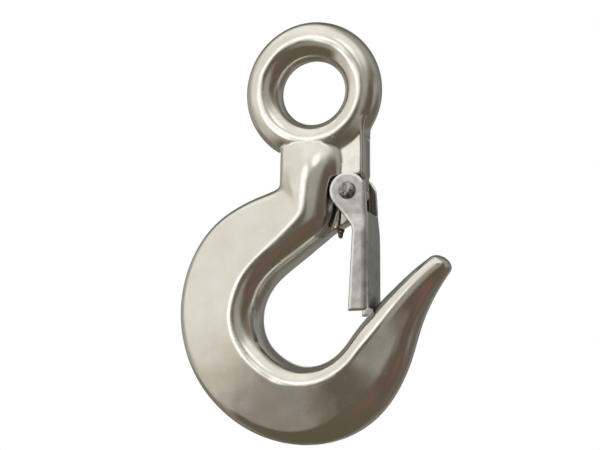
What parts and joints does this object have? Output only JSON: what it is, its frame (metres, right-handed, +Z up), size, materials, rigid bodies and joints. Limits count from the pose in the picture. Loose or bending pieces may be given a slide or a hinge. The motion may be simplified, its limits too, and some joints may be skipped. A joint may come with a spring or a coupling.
{
  "type": "eye hook with safety latch",
  "caption": "Forged lifting hook with a round eye, a deep bowl and a sprung sheet-steel safety latch that closes the mouth on the tip.",
  "frame": {"origin": "centre of the round eye, midway through its bar", "axes": "+Z up along the load line from the bowl to the eye, +X towards the tip and the latch, +Y away from the viewer through the hook's thickness"},
  "size_m": [0.0729, 0.016, 0.1112],
  "materials": {
    "polished_steel": "mirror polished stainless steel",
    "satin_steel": "tumbled satin sheet steel",
    "peened_steel": "dull steel with hammer marks",
    "spring_steel": "drawn spring wire"
  },
  "bodies": {
    "hook": {"hook_body": "polished_steel", "latch_spring": "spring_steel"},
    "latch_arm": {"latch": "satin_steel", "latch_rivet": "peened_steel"}
  },
  "joints": [
    {"name": "latch_hinge", "type": "hinge", "parent": "hook", "child": "latch_arm", "pos_m": [0.01065, 0, -0.0274], "axis": [0, 1, 0], "range_deg": [0, 36], "stiffness_Nm_per_rad": 0.05, "springref_deg": -28.65, "deforming": ["latch_spring"]}
  ]
}
